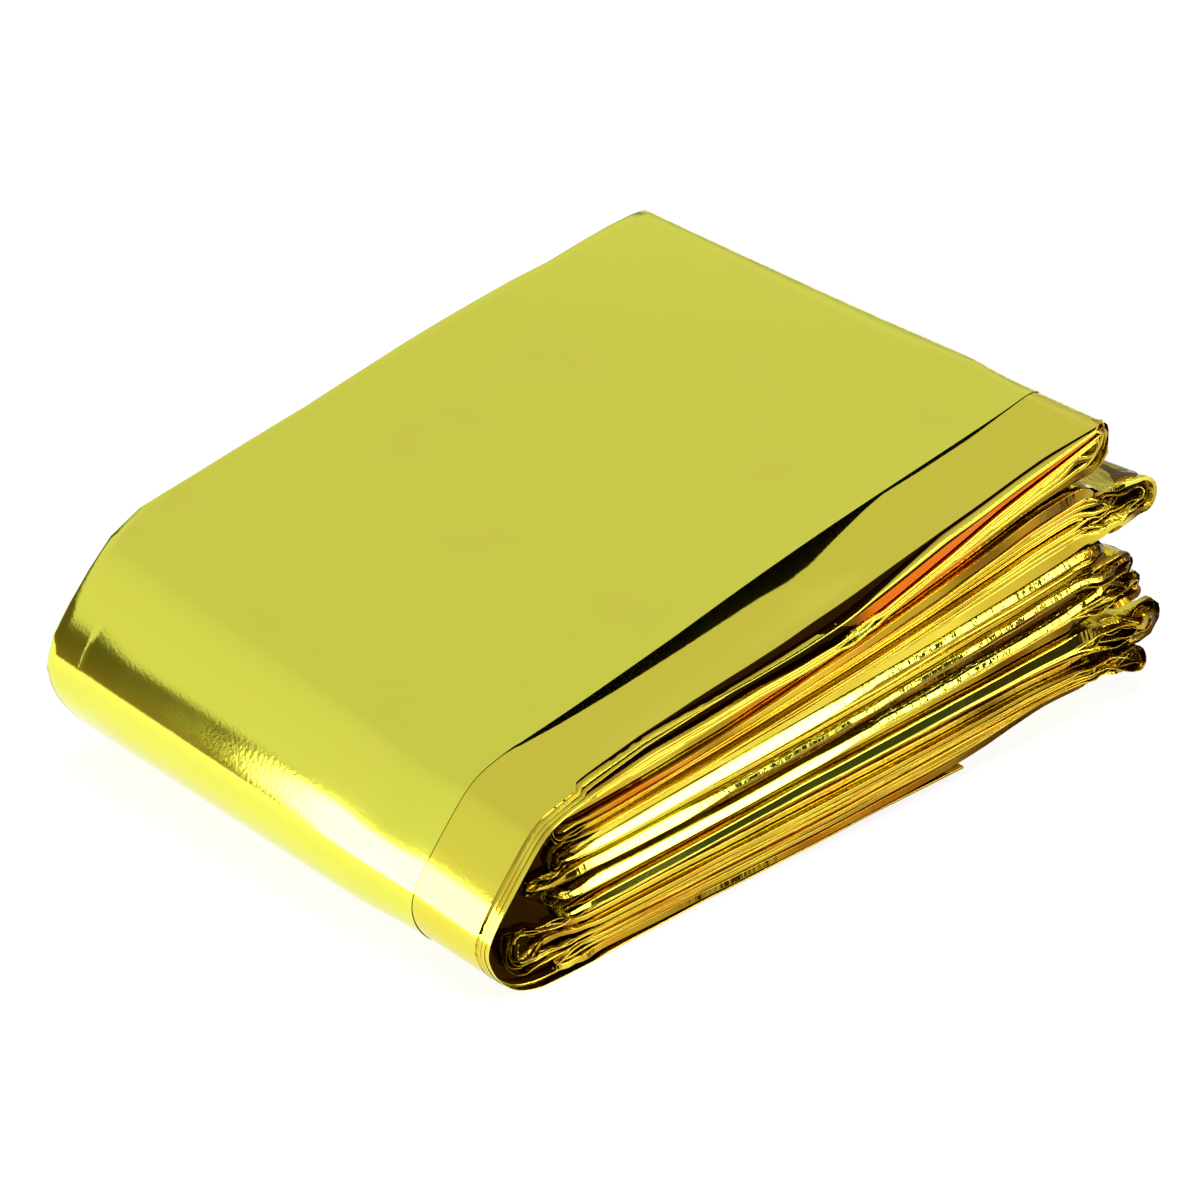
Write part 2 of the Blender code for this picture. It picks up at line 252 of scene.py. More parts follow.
# %% Kinds of unevenness
# How far each one swings, the length of its steps along the strip in mm, where it starts on the lattice,
# whether it is sharp, and its steps across the strip.
Uneven = namedtuple("Uneven", "swing step seed sharp width", defaults=(False, 1.0))
NEAR_TIP = Uneven(0.10, 9.0, 3)                       # tips of the folds, in mm
THIN_TIP = Uneven(0.22, 17.0, 60)
THIN_JAG = Uneven(0.15, 3.1, 60, True)                # jagged where the fold is creased
BROAD_JAG = Uneven(0.25, 2.6, 50, True)
FAR_TIP = Uneven(0.5, 11.0, 20)
CRUMPLE_FINE = Uneven(0.50, 2.1, 7, True)             # crumples, in mm
CRUMPLE_WIDE = Uneven(1.20, 5.2, 9, True, 3.0)
END_DENTS = Uneven(1.9, 4.4, 30, True, 5.5)
FILM_WAVE = Uneven(0.05, 14.0, 80, False, 16.0)       # the hidden films wave a little
THIN_LEAN = Uneven(7.0, 19.0, 90)                     # lean of the near folds, in degrees
BROAD_LEAN = Uneven(THIN_LEAN.swing / 6.0, 19.0, 90)
CREASED_LEAN = Uneven(9.0, 2.0, 150, True)
PATCHED_LEAN = Uneven(7.0, 9.0, 152)
CRUMPLED_LEAN = Uneven(34.0, 3.3, 130, True)
# painted shade, in patches and blotches, and painted glow, swinging along the strip
SHADE_NOISE = Uneven(1.0, 8.0, 70)                         # colour
FINE_SHADE_NOISE = Uneven(0.6, 2.8, 170, True)
SHADE_BLOTCH = Uneven(0.26, 5.0, 190, False, 7.0)
FAR_SHADE_NOISE = Uneven(0.14, 12.0, 200)
GLOW = Uneven(2.0, 13.0, 110)
print("Lengths of the unevenness in mm:", CREASED_LEAN.step, "to", THIN_LEAN.step)

# %% [markdown]
# ## The strip's path
#
# Seen from the near side the strip is one long line: along the underside, round the nose, over the top,
# and then back and forth inside. The wrap and the top run are one smooth spline, because a mirror shows
# every kink; the runs inside are parabolas through three stations with round folds between them. Each
# path is worked out on rows across the packet, and the film is read from between the rows.

# %% Heights of the runs
ROWS = np.linspace(0.0, 1.0, 41)
MIDDLE_ROW = len(ROWS) // 2
RIPPLE = 0.18             # each run's own slight unevenness, in mm
RIPPLE_ALONG = 0.09       # radians per mm
RIPPLE_ACROSS = 5.0       # radians over the packet's width
RAG = 1.8                 # of the folds' ends, in mm
RAG_ACROSS = 9.0
PHASES = (1.7, 0.9, 2.3)  # from one run to the next: of the ripple along and across, and of the rag


def through_stations(heights, x):
    """Height at x on the parabola through the three stations, straight on past its ends."""
    front, mid, back = heights
    slope_a = (mid - front) / (MID_X - FRONT_X)
    slope_b = (back - mid) / (BACK_X - MID_X)
    bend = (slope_b - slope_a) / (BACK_X - FRONT_X)
    inside = np.clip(x, FRONT_X, BACK_X)
    height = front + slope_a * (inside - FRONT_X) + bend * (inside - FRONT_X) * (inside - MID_X)
    front_slope = slope_a - bend * (MID_X - FRONT_X)
    return height + front_slope * np.minimum(0.0, x - FRONT_X)


def far_heights(run):
    if run == 0:
        return FAR_TOP
    share = (run - 1) / (len(RUNS) - 2)
    return tuple(mix(high, low, share) for high, low in zip(FAR_HIGH, FAR_LOW))


def run_height(run, x, across):
    """Height of a run's middle at x, from 0 on the near side to 1 on the far side."""
    row = RUNS[run]
    near = through_stations((row.front_z, row.mid_z, row.back_z), x)
    near = near + row.rise * ramp(x, *LOOP)
    near = near - row.drop * ramp(x, *TAIL)
    height = mix(near, through_stations(far_heights(run), x), across)
    if run:
        along = np.sin(RIPPLE_ALONG * x + PHASES[0] * run)
        height = height + RIPPLE * along * np.cos(RIPPLE_ACROSS * across + PHASES[1] * run)
    return height


def end_x(run, across):
    """Where a run's fold lies, a little ragged from row to row."""
    place = mix(RUNS[run].end_x_near, RUNS[run].end_x_far, across)
    if run:
        place = place + RAG * np.sin(RAG_ACROSS * across + PHASES[2] * run) * across * (1.0 - across)
    return place


# %% Room for the layers of a run
FILL = 0.97               # layers' thickness as a share of the room between runs
HEAD_LEAST = 0.3          # what the first run inside fills of the gap above it, in mm
HEAD_MOST = 2.6
ROOM_MOST = 1.1           # most on one side of a run where it stands free at the back
STANDS_FREE = (58.0, 12.0)    # from here on
ROOM_ANY = 10.0           # and where other runs lie over it
LAST_ROOM_X = (-20.0, 10.0, 30.0, 38.5, 43.0, 48.6, 55.0)
LAST_ROOM = (2.6, 2.0, 2.3, 2.1, 1.75, 1.1, 0.6)      # under the last run, which rises off the floor
HANG_FADE = 0.30          # share of the packet's width over which the hanging layers settle


def hang(column, x):
    """One column of the table of hanging layers, at x."""
    return np.interp(x, [row.x for row in HANGS], [getattr(row, column) for row in HANGS])


def run_room(run, x, across):
    """Room for a run's layers above and below its middle: to half way to the next run."""
    height = run_height(run, x, across)
    above = run_height(run - 1, x, across) - height
    if run == 1:
        top_run = mix(hang("thin_in", x), WRAP_THICK, ease(across / HANG_FADE))
        above = 2.0 * np.clip(above - top_run, HEAD_LEAST, HEAD_MOST)
    below = 2.0 * (height - WRAP_THICK)
    if run < len(RUNS) - 1:
        below = height - run_height(run + 1, x, across)
    most = mix(ROOM_ANY, ROOM_MOST, ramp(x, *STANDS_FREE))
    above = np.minimum(FILL * above / 2.0, most)
    if run == len(RUNS) - 1:
        most = np.minimum(most, np.interp(x, LAST_ROOM_X, LAST_ROOM))
    return above, np.minimum(FILL * below / 2.0, most)


# %% The smooth wrap
TURN_STATIONS = 9         # stations round a fold
TURN_SETTLES = 3          # a turn's reach and height depend on each other, so they settle in a few rounds
UNDER_STATIONS = 22       # along the underside
NOSE_STATIONS = 60        # round the nose
NOSE_ROW = 3              # row of SKIN where the nose begins
TOP_STATIONS = 70         # along the top
HOLD = 0.5                # how closely the curve keeps to its knots
SPLINE_X = (-41.0, -32.0, -20.0, -6.0, 8.0, 22.0, 36.0, 50.0)


def smooth_curve(knots, at):
    """Cubic B-spline: it rounds the knots off a little and never swings past them."""
    bend = knots[2:] - 2.0 * knots[1:-1] + knots[:-2]
    inner = knots[1:-1] - HOLD * bend / 6.0
    first, last = 2.0 * knots[:1] - inner[:1], 2.0 * knots[-1:] - inner[-1:]
    line = np.concatenate((first, knots[:1], inner, knots[-1:], last))
    span = np.clip(np.floor(at).astype(int), 0, len(knots) - 2)
    t = (at - span)[:, None, None]
    weights = ((1 - t) ** 3, 3 * t ** 3 - 6 * t ** 2 + 4, -3 * t ** 3 + 3 * t ** 2 + 3 * t + 1, t ** 3)
    return sum(weight * line[span + k] for k, weight in enumerate(weights)) / 6.0


def turn_points(run):
    """Points round the fold that joins a run to the next one down, stations by rows by 2."""
    tip = end_x(run, ROWS)
    side = 1.0 if run % 2 == 0 else -1.0
    reach = np.ones_like(ROWS)
    for _ in range(TURN_SETTLES):
        upper = run_height(run, tip - side * reach, ROWS)
        lower = run_height(run + 1, tip - side * reach, ROWS)
        reach = np.minimum(TURN_REACH_MAX, TURN_BULGE * np.abs(upper - lower) / 2.0)
    half = (upper - lower) / 2.0
    power = mix(1.0, SQUARE_POWER, ease(half / SQUARE_FROM - 1.0))
    angle = (math.pi / 2.0 - math.pi * np.arange(TURN_STATIONS + 1) / TURN_STATIONS)[:, None]
    out = np.clip(np.cos(angle), 0.0, 1.0) ** power
    up = np.sign(np.sin(angle)) * np.abs(np.sin(angle)) ** power
    return np.stack((tip - side * reach + side * reach * out, (upper + lower) / 2.0 + half * up), axis=-1)


def wrap_points():
    """The smooth part of the path: underside, nose and top run."""
    knots = [np.stack((mix(s.near_x, s.far_x, ROWS), mix(s.near_z, s.far_z, ROWS)), axis=-1) for s in SKIN]
    top_end = turn_points(0)[0]
    for x in SPLINE_X:
        xs = np.full_like(ROWS, x)
        knots.append(np.stack((xs, run_height(0, xs, ROWS)), axis=-1))
    knots.append(top_end)
    knots = np.array(knots)
    middle = knots[:, MIDDLE_ROW]
    steps = np.linalg.norm(np.diff(middle, axis=0), axis=1)
    reached = np.concatenate(((0.0,), np.cumsum(steps)))
    nose_start, nose_end = reached[NOSE_ROW], reached[len(SKIN)]
    at = np.concatenate((
        np.linspace(0.0, nose_start, UNDER_STATIONS, endpoint=False),
        np.linspace(nose_start, nose_end, NOSE_STATIONS, endpoint=False),
        np.linspace(nose_end, reached[-1], TOP_STATIONS),
    ))
    set_backs = np.interp(at, reached[:len(SKIN)], [s.set_back for s in SKIN])
    return smooth_curve(knots, np.interp(at, reached, np.arange(len(knots)))), set_backs


# %% The runs inside
RUN_STATIONS = 96         # stations along a run
BACK_SHARE = 0.35         # runs that stand out do so less than the solid's
CORE = 0.72               # how far the layers may reach into a fold, as a share of its reach
CORE_RUN = 9.0            # length over which they thin down to that


def set_back_of(run):
    back = RUNS[run].set_back
    return back if back > 0.0 else BACK_SHARE * back


def run_part(run):
    """Points of a run inside, and its thickness on its outer and inner side."""
    turn = turn_points(run - 1)
    last = run == len(RUNS) - 1
    after = None if last else turn_points(run)
    stop = end_x(run, ROWS) if last else after[0][:, 0]
    share = (np.arange(RUN_STATIONS + 1) / RUN_STATIONS)[:, None]
    xs = mix(turn[-1][None, :, 0], stop[None, :], share)
    above, below = run_room(run, xs, ROWS[None, :])
    start_core = CORE * np.abs(end_x(run - 1, ROWS) - turn[-1][:, 0])
    start_near = around(xs, xs[:1], CORE_RUN)
    above = mix(above, np.minimum(above, start_core), start_near)
    if not last:
        stop_core = CORE * np.abs(end_x(run, ROWS) - after[0][:, 0])
        stop_near = around(xs, xs[-1:], CORE_RUN)
        below = mix(below, np.minimum(below, stop_core), stop_near)
    outer, inner = (above, below) if run % 2 == 0 else (below, above)
    return turn, np.stack((xs, run_height(run, xs, ROWS[None, :])), axis=-1), outer, inner


def whole_path():
    """Arrays along the whole strip: points, outer and inner thickness, set-back and run number."""
    points, set_backs = wrap_points()
    count = len(points)
    tables = {
        "points": [points],
        "outer": [np.zeros((count, len(ROWS)))],
        "inner": [np.full((count, len(ROWS)), WRAP_THICK)],
        "set_back": [set_backs],
        "run": [np.zeros(count)],
    }
    for run in range(1, len(RUNS)):
        turn, points, outer, inner = run_part(run)
        bend = (np.arange(1, TURN_STATIONS + 1) / TURN_STATIONS)[:, None]
        tables["points"] += [turn[1:], points[1:]]
        tables["outer"] += [mix(tables["outer"][-1][-1], outer[0], bend), outer[1:]]
        tables["inner"] += [mix(tables["inner"][-1][-1], inner[0], bend), inner[1:]]
        back = set_back_of(run)
        tables["set_back"] += [mix(set_back_of(run - 1), back, bend[:, 0]), np.full(RUN_STATIONS, back)]
        tables["run"] += [run - 1 + bend[:, 0], np.full(RUN_STATIONS, float(run))]
    return {name: np.concatenate(parts) for name, parts in tables.items()}


path = whole_path()
stations = len(path["run"])
ahead = np.concatenate((path["points"][1:], path["points"][-1:]))
behind = np.concatenate((path["points"][:1], path["points"][:-1]))
tangent = ahead - behind
tangent /= np.linalg.norm(tangent, axis=-1, keepdims=True)
path["normal"] = np.stack((-tangent[..., 1], tangent[..., 0]), axis=-1)
steps = np.linalg.norm(np.diff(path["points"][:, MIDDLE_ROW], axis=0), axis=-1)
path["reached"] = np.concatenate(((0.0,), np.cumsum(steps)))
near_x = path["points"][:, 0, 0]
print("Stations:", stations, "strip length in mm:", round(float(path["reached"][-1])))

# %% Reading the path


def read_rows(name, across):
    """A table of the path, stations by rows, read between its rows."""
    place = np.clip(across, 0.0, 1.0) * (len(ROWS) - 1)
    row = np.minimum(place.astype(int), len(ROWS) - 2)
    part = place - row
    index = np.arange(stations)
    low, high = path[name][index, row], path[name][index, row + 1]
    if low.ndim > 1:
        part = part[:, None]
    return mix(low, high, part)


def uneven(kind, layer=0, y=0.0):
    """One kind of unevenness at every station. Each layer has its own."""
    return kind.swing * noise(path["reached"] / kind.step, y / kind.width, kind.seed + layer, kind.sharp)


# %% [markdown]
# ## Depths of the fourteen layers
#
# At every station each place in the stack has a depth below the outer skin. The tables above give it for
# the near side; towards the far side the layers settle to even steps. Where the strip turns at the nose
# the layers part, so each fold there shows as a thin line with dark between.

# %% Depths
SECOND_DEPTH = 0.02       # the second film as a share of the run's thickness
FADE = 0.35               # share of the packet's width over which the near side's order fades
THIN_FULL = 0.84          # a thin fold's share of its pitch in a run
THIN_OPEN = 0.14          # and where the layers part
BROAD_OPEN = 0.20
EVEN_FIRST = 0.06         # place of the first of the evenly parted folds in the thickness
OPEN_RUN = 12.0           # distance from a turn over which the layers part
CREASE_RUN = 14.0         # length over which a crease sets in
CREASE_NARROW = 0.6       # a creased broad fold is drawn in by this share
UNDER = (-46.0, 10.0)     # the wrap's folds lie deeper under the packet
UNDER_DEEP = 2.4
LOOSE_DEEP = 3.8          # and deepest at its loose end
LOOSE_DEEP_RUN = 30.0


def along_strip(column):
    """One column of the edge table, read along the strip."""
    return np.interp(path["run"], np.arange(len(EDGES)), [getattr(edge, column) for edge in EDGES])


def near_turns(first, reach):
    """1 at every second turn, counted from the one after run first, to 0 at reach mm from it."""
    turns = [np.argmin(abs(path["run"] - run - 0.5)) for run in range(first, len(RUNS) - 1, 2)]
    middles = path["reached"][turns]
    away = np.min(np.abs(path["reached"][:, None] - middles[None, :]), axis=1)
    return ease(1.0 - away / reach)


on_wrap = path["run"] < 1.0
on_top = np.clip(1.0 - path["run"], 0.0, 1.0)
top_x = np.where(np.arange(stations) < UNDER_STATIONS + NOSE_STATIONS, HANGS[0].x, near_x)
crease = along_strip("crease") * ramp(near_x, along_strip("crease_x"), CREASE_RUN)
under = (np.arange(stations) < UNDER_STATIONS) * ramp(near_x, *UNDER)
open_nose = near_turns(1, OPEN_RUN)
open_back = near_turns(0, OPEN_RUN)
print("Turns at the nose and at the back take up:", round(float(np.mean(open_nose + open_back > 0.0)), 2))


def fold_span(place):
    """Depths of a place's near fold as shares of the run's thickness: its middle and half height."""
    narrowed = CREASE_NARROW * crease * (along_strip("broad_in") - along_strip("broad_out"))
    if place < THIN[0]:
        low, high = along_strip("broad_out"), along_strip("broad_in") - narrowed
        half = (high - low) / 2.0 * mix(1.0, BROAD_OPEN, open_nose)
        return mix((low + high) / 2.0, EVEN_FIRST, open_nose), half
    fold = (place - THIN[0]) // 2
    low, high = along_strip("thin_out") - narrowed, along_strip("thin_in")
    pitch = (high - low) / THIN_FOLDS
    even = EVEN_FIRST + (1.0 - EVEN_FIRST) * (fold + 1) / THIN_FOLDS
    half = pitch / 2.0 * mix(THIN_FULL, THIN_OPEN, open_nose)
    return mix(low + (fold + 0.5) * pitch, even, open_nose), half


def top_span(place):
    """The same for the top run and the wrap, in mm below the skin."""
    deep = mix(1.0, mix(UNDER_DEEP, LOOSE_DEEP, ease(near_x / LOOSE_DEEP_RUN)), under)
    fold = (place - THIN[0]) // 2
    if fold <= 0:
        group = "broad" if fold < 0 else "web"
        low, high = hang(group + "_out", top_x) * deep, hang(group + "_in", top_x) * deep
        return (low + high) / 2.0, (high - low) / 2.0
    low, high = hang("thin_out", top_x) * deep, hang("thin_in", top_x) * deep
    pitch = (high - low) / (THIN_FOLDS - 1)
    return low + (fold - 0.5) * pitch, pitch / 2.0 * THIN_FULL


def side_of(place):
    """Where a place lies on its near fold: -1 on the upper film, 1 on the lower, halves if it is held."""
    if place < THIN[0]:
        return (-1.0, -0.5, 0.5, 1.0)[place - BROAD[0]]
    return -1.0 if (place - THIN[0]) % 2 == 0 else 1.0


even_depths = np.maximum(0.0, np.arange(PLACES + 1) - 1.0) / (PLACES - 1)


def depth_at(place, across):
    """Depth of a place in mm below the outer skin, for a place across the packet at each station."""
    thick = read_rows("outer", across) + read_rows("inner", across)
    if place <= 2:
        near, top = (place - 1) * SECOND_DEPTH * thick, 0.0
    else:
        middle, half = fold_span(place)
        near = thick * (middle + side_of(place) * half)
        middle, half = top_span(place)
        top = middle + side_of(place) * half
    depth = mix(near, thick * even_depths[place], ease(across / FADE))
    top = mix(top, WRAP_THICK * even_depths[place], ease(across / HANG_FADE))
    return mix(depth, top, on_top)


# %% [markdown]
# ## Laying the film
#
# The sheet is a grid: one column for each line along the strip, one row for each station. A cloth
# simulation would fold such a grid too, but fourteen layers tangle in it; points that are set on the folds
# lie where the real folds lie. A column follows either a flat layer or a fold, where the film turns back.
# A near fold is flat in front with a short bend above and below, so that its front mirrors one part of the
# room evenly, and it can lean. A far fold is a half round, squared a little. A fold that another one holds
# needs only its two ends.

# %% Columns of the sheet
Column = namedtuple("Column", "kind first second share")
FLAT_SHARES = (0.02, 0.14, 0.55, 0.95)    # places of a layer's columns from its near end to its far end
TOP_SHARES = (0.0, 0.012, 0.03, 0.06, 0.1, 0.15, 0.2, 0.27, 0.36, 0.5, 0.65, 0.8,
              0.90, 0.9085, 0.9146, 0.9207, 0.93, 0.975, 0.996)
SECOND_SHARES = (0.0, 0.01, 0.03, 0.07, 0.12, 0.17, 0.23, 0.55, 0.95)
BROAD_FOLD = ((-1.0, 1.0), (-0.94, 0.24), (-0.82, 0.0), (-0.72, 0.0),     # height and how far in
              (0.72, 0.0), (0.82, 0.0), (0.94, 0.24), (1.0, 1.0))
THIN_FOLD = ((-1.0, 1.0), (-0.88, 0.25), (-0.6, 0.0), (0.6, 0.0), (0.88, 0.25), (1.0, 1.0))
HELD_FOLD = ((-1.0, 1.0), (1.0, 1.0))
FAR_STEPS = 4
FAR_BROAD_STEPS = 6


def near_profile(first, second):
    """A near fold's outline: full where it shows, two points where another fold holds it."""
    if {first, second} == set(BROAD):
        return BROAD_FOLD
    return THIN_FOLD if min(first, second) >= THIN[0] else HELD_FOLD


def fold_steps(side, first, second):
    """Steps round a fold: many where it shows, one where another fold hides it."""
    pair = {first, second}
    if side == "near":
        return len(near_profile(first, second)) - 1
    if pair == set(FAR_FOLDS[1]):
        return FAR_BROAD_STEPS
    return FAR_STEPS if 1 in pair else 1


def sheet_columns():
    """All columns, in the order in which they follow each other on the sheet."""
    columns = []
    for index, place in enumerate(ORDER):
        shares = {1: TOP_SHARES, 2: SECOND_SHARES}.get(place, FLAT_SHARES)
        far_going = index % 2 == 0
        for share in (shares if far_going else shares[::-1]):
            columns.append(Column("flat", place, place, share))
        if index + 1 < PLACES:
            side = "far" if far_going else "near"
            after = ORDER[index + 1]
            count = fold_steps(side, place, after)
            for step in range(count + 1):
                columns.append(Column(side, place, after, step / count))
    return columns


columns = sheet_columns()
print("Columns:", len(columns))

# %% [markdown]
# ## Crumples
#
# Handling has crumpled the strip where it turns, most of all at the free ends at the back, and where the
# hanging folds bunch up in a knot. Dents could be sculpted one by one. Noise with straight flanks has the
# sharp creases of film in one line, and it can be asked at any point, so neighbouring folds move nearly
# alike.

# %% Where the film is crumpled
NOSE_CRUMPLED = (-38.0, -12.0)    # from this x on, towards the nose
BACK_CRUMPLED = (60.0, 12.0)      # and towards the back
TOP_SMOOTH_X = 68.0       # the top run is smooth up to here
RIM_CRUMPLE = 0.3         # share of them where the strip leaves the wrap's rim
KNOT = (14.0, 6.0)        # where the hanging folds bunch up: its middle and reach
KNOT_SHARE = 1.3
crumpled_nose = ramp(near_x, *NOSE_CRUMPLED) * (1.0 - np.clip(2.0 * on_top, 0.0, 1.0))
crumpled_nose = crumpled_nose * mix(RIM_CRUMPLE, 1.0, ease(path["run"] - 1.0))
crumpled_back = ramp(near_x, *BACK_CRUMPLED) * (1.0 - on_top * (near_x < TOP_SMOOTH_X))
crumpled = np.maximum(crumpled_nose, crumpled_back)
knot = on_top * around(top_x, *KNOT)
print("Crumpled share of the strip:", round(float(np.mean(crumpled > 0.5)), 2))

# %% How far it is crumpled
CRUMPLE_SHARE = 0.10      # share of the packet's width over which crumples fade
END_SHARE = 0.45          # and those of the free ends' outer layers
BACK_CRUMPLE = 1.7        # the free ends are the more crumpled
LOW_ROW = 0.9             # rows of the noise from one fold to the next
SUM_ROW = 0.5
OUTWARD, ASIDE = 0, 1     # directions in which a fold is crumpled


def crumpled_of(low):
    """How crumpled a fold is along the strip; only the thin ones under the web bunch up in the knot."""
    return np.maximum(crumpled, KNOT_SHARE * knot * (low > THIN[0]))


def crumple(direction, first, second, across):
    """Crumples of one fold at every station, in mm."""
    low = min(first, second)
    row = LOW_ROW * low + SUM_ROW * (first + second)
    fine = uneven(CRUMPLE_FINE, direction, row)
    wide = uneven(CRUMPLE_WIDE, direction, row) * mix(1.0, BACK_CRUMPLE, crumpled_back)
    return crumpled_of(low) * ease(1.0 - across / CRUMPLE_SHARE) * (fine + wide)


def end_crumple(y, across):
    """How far the outer layers of the free ends stand out."""
    return crumpled_back * ease(1.0 - across / END_SHARE) * np.maximum(0.0, uneven(END_DENTS, 0, y))


# %% Tips of the folds
NEST_STEP = 0.25          # one fold inside another
FAR_NEST_STEP = 0.5
SECOND_BACK = 0.3         # how far the second film's cut edge stands back from the side
HOLLOW_BACK = 1.4         # how far the inner folds stand back at the turns at the back
HOLLOW_RUN = 3.5          # before this run
HIDDEN_BACK = 1.6         # the inner folds of the wrap stand back, so its rim looks thin
RIM = (-44.0, -4.0)       # behind this x
rim_share = on_top * ramp(top_x, *RIM)


def nest_of(first, second):
    """How many folds hold this one."""
    folds = NEAR_FOLDS if (first, second) in NEAR_FOLDS else FAR_FOLDS
    low, high = sorted((first, second))
    return sum(min(pair) < low and high < max(pair) for pair in folds)


def near_tip(first, second):
    """y of a near fold's tip, or of the second film's cut edge, along the strip."""
    low = min(first, second)
    fold = (low - THIN[0]) // 2
    if low == 2:
        back, top_back = SECOND_BACK, hang("second_back", top_x)
    elif fold < 0:
        back, top_back = along_strip("broad_back"), hang("broad_back", top_x)
        back = back + crease * uneven(BROAD_JAG)
    else:
        back = along_strip("thin_back") + uneven(THIN_TIP, fold)
        back = back + crease * uneven(THIN_JAG, low)
        back = back + HOLLOW_BACK * open_back * (path["run"] < HOLLOW_RUN)
        top_back = hang("thin_back" if fold else "web_back", top_x)
        if fold > 1:
            top_back = top_back + HIDDEN_BACK * rim_share
    back = mix(back, top_back, on_top) + NEST_STEP * nest_of(first, second)
    return NEAR_Y + path["set_back"] + uneven(NEAR_TIP, low) + back


def far_tip(first, second):
    return FAR_Y - FAR_NEST_STEP * nest_of(first, second) - FAR_TIP.swing - uneven(FAR_TIP, first)


# %% How the near folds lean
WEB_LEAN = 14.0           # degrees
CREASED_SLACK = 4.5       # a creased fold stands up a little


def near_lean(low):
    """How far a near fold's top leans back along the strip."""
    if low >= THIN[0]:
        lean = along_strip("thin_lean") + uneven(THIN_LEAN, low)
        if low == THIN[0]:
            lean = lean + (WEB_LEAN - along_strip("thin_lean")) * on_top
    else:
        lean = along_strip("broad_lean") + uneven(BROAD_LEAN, low)
        lean = lean + crease * (uneven(CREASED_LEAN) + uneven(PATCHED_LEAN) - CREASED_SLACK)
    return lean + crumpled_of(low) * uneven(CRUMPLED_LEAN, low)


# %% One point round a fold
REACH_SHARE = 0.9         # a fold's reach as a share of half its height
REACH_LEAST = 0.10
REACH_MOST = 0.8
FAR_SQUARE = 0.6


def across_of(y):
    return (y - NEAR_Y) / (FAR_Y - NEAR_Y)


def fold_place(side, first, second, share):
    """y and depth of one point round a fold, at every station."""
    near = side == "near"
    tip = near_tip(first, second) if near else far_tip(first, second)
    depth_a = depth_at(first, across_of(tip))
    depth_b = depth_at(second, across_of(tip))
    reach = np.clip(REACH_SHARE * np.abs(depth_b - depth_a) / 2.0, REACH_LEAST, REACH_MOST)
    if near:
        profile = near_profile(first, second)
        turn, inset = profile[round(share * (len(profile) - 1))]
    else:
        angle = math.pi * (share - 0.5)
        turn = math.copysign(abs(math.sin(angle)) ** FAR_SQUARE, angle)
        inset = 1.0 - max(0.0, math.cos(angle)) ** FAR_SQUARE
    depth = mix(depth_a, depth_b, 0.5 + turn / 2.0)
    if not near:
        return tip - reach * inset, depth
    height = ((depth_a + depth_b) / 2.0 - depth) * path["normal"][:, 0, 1]
    return tip + reach * inset + np.tan(np.radians(near_lean(min(first, second)))) * height, depth


# %% [markdown]
# ## The cut edge and its slit
#
# On top, the sheet's own cut edge runs short of the near side. A boolean cut could make the dark slit under
# it, but the real one is just two films that part: the upper one stands up a little at its edge, and the
# one below sags. So the top film's columns are lifted and the second film's dip, each by its own curve.
# Near the far side the wrap has a crease, a shallow trough with a slight turn past it.

# %% The cut edge
EDGE_X = (-46.0, -10.0, 24.0, 60.0)       # the edge's way along the top
EDGE_Y = (-33.3, -34.5, -34.8, -35.2)
SLIT_X = (-44.5, -34.0, -22.3, -10.7, 0.9, 6.7, 12.5, 17.8, 24.2, 30.0, 34.0, 41.7, 53.0, 59.8, 66.0)
SLIT = (0.0, 0.63, 1.17, 1.55, 1.95, 2.10, 2.40, 2.25, 1.36, 0.58, 0.22, 0.35, 0.35, 0.10, 0.0)
LIFT_MOST = 1.265
LIFT_POWER = 1.5
LIFT_WIDTH = 22.0         # width over which the lift fades
EDGE_GAP = 0.05
EDGE_GAP_Z = 1.5          # height over which that gap opens, above the floor
DIP_NEAR = (-47.5, 8.0)   # the second film sags between these two
DIP_FAR = (-22.0, -6.0)
HIDDEN_DIP = 0.4          # the hidden films sag a little further
COVER_RISE = 0.75         # the whole strip stands prouder inside the cut edge
COVER_RISE_Z = 3.0
NOSE_TOP = (26.0, 4.0)    # the top begins at this height


def over_nose(z):
    """1 on top of the packet, 0 on its nose."""
    return ramp(z, *NOSE_TOP)


def edge_line(x):
    """y of the top film's cut edge at x."""
    return np.interp(x, EDGE_X, EDGE_Y)


def lift_of(x):
    """How far the top film's cut edge stands up at x."""
    along = np.clip((x - LIFT_FRONT_X) / (LIFT_BACK_X - LIFT_FRONT_X), 0.0, 1.0)
    return LIFT_MOST * np.sin(math.pi * along) ** LIFT_POWER


def edge_rise(x, y, z):
    """How far the top film rises off the second one."""
    inward = np.clip(1.0 - (y - edge_line(x)) / LIFT_WIDTH, 0.0, 1.0)
    return (EDGE_GAP + lift_of(x) * inward * over_nose(z)) * ease(z / EDGE_GAP_Z)


def dip_of(x, y):
    """How far the second film sags away from it, so that the slit has its creased lower side."""
    dip = np.interp(x, SLIT_X, SLIT) - lift_of(x)
    return dip * ramp(y, *DIP_NEAR) * ramp(y, *DIP_FAR)


def cover_rise(y, z):
    return COVER_RISE * ramp(y, *COVER) * ease(z / COVER_RISE_Z)


# %% The wrap's crease
CREASE_Y = 41.97
CREASE_HALF = 0.5
CREASE_DEPTH = 0.10
CREASE_TURN = 0.015       # slope of the film past it
CREASE_TOP = (32.0, -8.0)     # heights between which it shows
CREASE_FOOT = (4.0, 6.0)


def nose_crease(y, z):
    """A sharp crease in the wrap near its far side, and the slight turn past it."""
    trough = CREASE_DEPTH * np.clip(1.0 - np.abs(y - CREASE_Y) / CREASE_HALF, 0.0, 1.0)
    turned = CREASE_TURN * np.maximum(0.0, y - CREASE_Y - CREASE_HALF)
    height = ramp(z, *CREASE_TOP) * ramp(z, *CREASE_FOOT)
    return -(trough + turned) * height


# %% Points of every column


